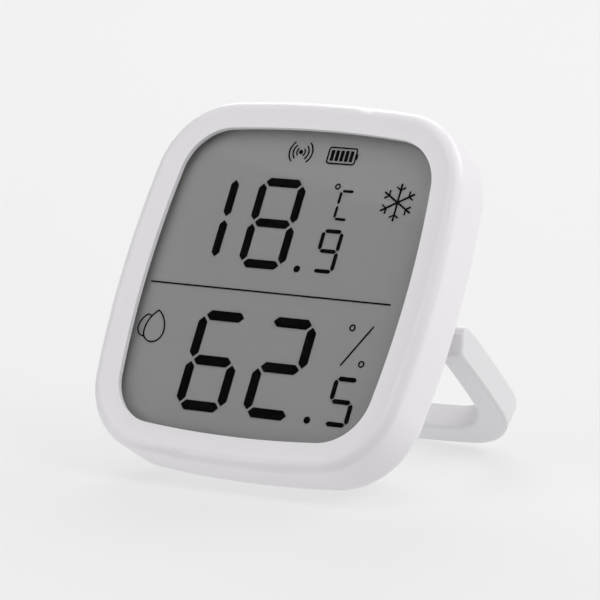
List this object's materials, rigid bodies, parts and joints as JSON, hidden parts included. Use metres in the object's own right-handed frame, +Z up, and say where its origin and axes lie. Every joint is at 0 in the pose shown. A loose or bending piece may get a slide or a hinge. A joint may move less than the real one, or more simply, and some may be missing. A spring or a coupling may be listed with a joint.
{
  "type": "temperature humidity sensor",
  "caption": "Small table-top room climate sensor: pillow-shaped white casing with a grey segment display, leaning back on a U-shaped fold-out stand.",
  "frame": {"origin": "on the floor, under the middle of the whole object's box, with the casing leaning back on its open stand", "axes": "+Z up, -Y the way the display faces, +X to the right of the display as seen from the front"},
  "size_m": [0.0576, 0.0474, 0.0548],
  "materials": {
    "casing_abs": "fine satin moulded white",
    "stand_abs": "fine satin moulded white",
    "button_abs": "satin moulded white",
    "door_abs": "satin moulded white",
    "tape": "soft adhesive tape",
    "polarizer_film": "satin hard-coated film",
    "display_glass": "clear thin glass",
    "segment_dark": "dark display segments",
    "reflector_grey": "grey-green reflecting film",
    "holder_abs": "moulded white",
    "elastomer": "layered conductive rubber",
    "circuit_board": "solder-masked laminate",
    "chip_resin": "moulded black resin",
    "module_board": "solder-masked laminate",
    "shield_tin": "tinned sheet",
    "sensor_resin": "moulded black resin",
    "foam": "closed-cell foam",
    "ceramic": "ceramic and ferrite",
    "screw_steel": "zinc-plated",
    "switch_resin": "moulded black",
    "plunger_resin": "moulded tan",
    "cell_can": "polished steel can",
    "contact_bronze": "spring bronze"
  },
  "bodies": {
    "casing": {"front_frame": "casing_abs", "display_tape": "tape", "front_polarizer": "polarizer_film", "front_glass": "display_glass", "temperature_digits": "segment_dark", "humidity_digits": "segment_dark", "display_icons": "segment_dark", "rear_glass": "display_glass", "reflector": "reflector_grey", "display_holder": "holder_abs", "contact_strip": "elastomer", "main_board": "circuit_board", "display_driver": "chip_resin", "radio_module": "module_board", "radio_shield": "shield_tin", "humidity_sensor": "sensor_resin", "sensor_collar": "foam", "board_components": "ceramic", "board_screws": "screw_steel", "switch_body": "switch_resin", "coin_cell": "cell_can", "negative_contact": "contact_bronze", "positive_contact": "contact_bronze", "rear_shell": "casing_abs"},
    "stand": {"stand": "stand_abs"},
    "button": {"button_cap": "button_abs"},
    "plunger": {"switch_plunger": "plunger_resin"},
    "door": {"battery_door": "door_abs"}
  },
  "joints": [
    {"name": "stand_fold", "type": "hinge", "parent": "casing", "child": "stand", "pos_m": [0, 0.00404, 0.02003], "axis": [-1, 0, 0], "range_deg": [0, 75.7]},
    {"name": "button_press", "type": "slide", "parent": "casing", "child": "button", "axis": [0, -0.5195, -0.8545], "range_m": [0, 0.0003], "stiffness_N_per_m": 2000},
    {"name": "plunger_press", "type": "slide", "parent": "casing", "child": "plunger", "axis": [0, -0.5195, -0.8545], "range_m": [0, 0.0003]},
    {"name": "door_twist", "type": "hinge", "parent": "casing", "child": "door", "pos_m": [0, 0.00699, 0.02035], "axis": [0, 0.8545, -0.5195], "range_deg": [0, 25]}
  ],
  "couplings": [
    {"joint": "plunger_press", "follows": "button_press", "ratio": 1}
  ]
}
